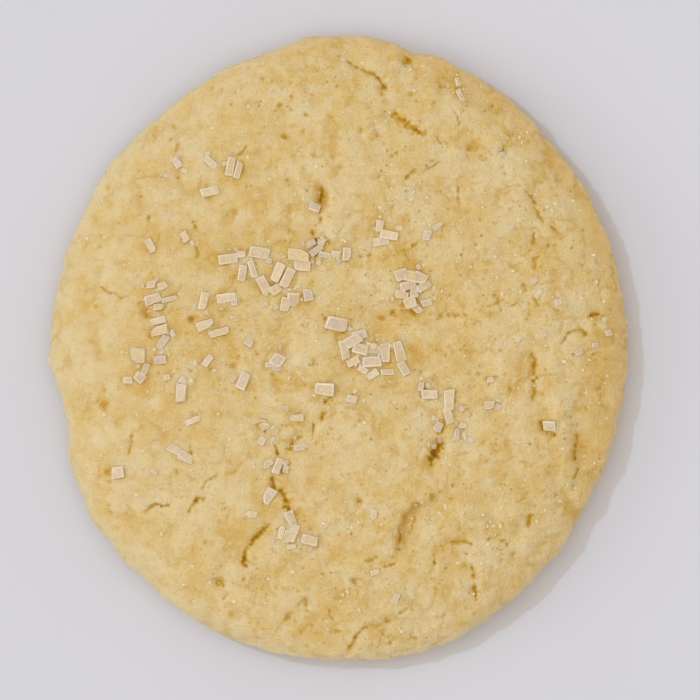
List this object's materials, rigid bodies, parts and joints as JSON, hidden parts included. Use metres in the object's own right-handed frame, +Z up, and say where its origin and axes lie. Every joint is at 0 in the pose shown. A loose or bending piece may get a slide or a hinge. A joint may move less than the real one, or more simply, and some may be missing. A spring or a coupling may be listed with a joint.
{
  "type": "lemon sugar cookie",
  "caption": "Soft round pale yellow cookie with a cracked, gently domed top and coarse sugar crystals pressed into it, resting on its flat base.",
  "frame": {"origin": "middle of the flat base that the cookie rests on", "axes": "+Z up through the sugared top, +Y along the longer side of the round, +X along the shorter side"},
  "size_m": [0.0726, 0.0782, 0.0106],
  "materials": {
    "dough": "matt, pale yellow baked dough"
  },
  "bodies": {
    "root": {"cookie": "dough"}
  },
  "joints": []
}
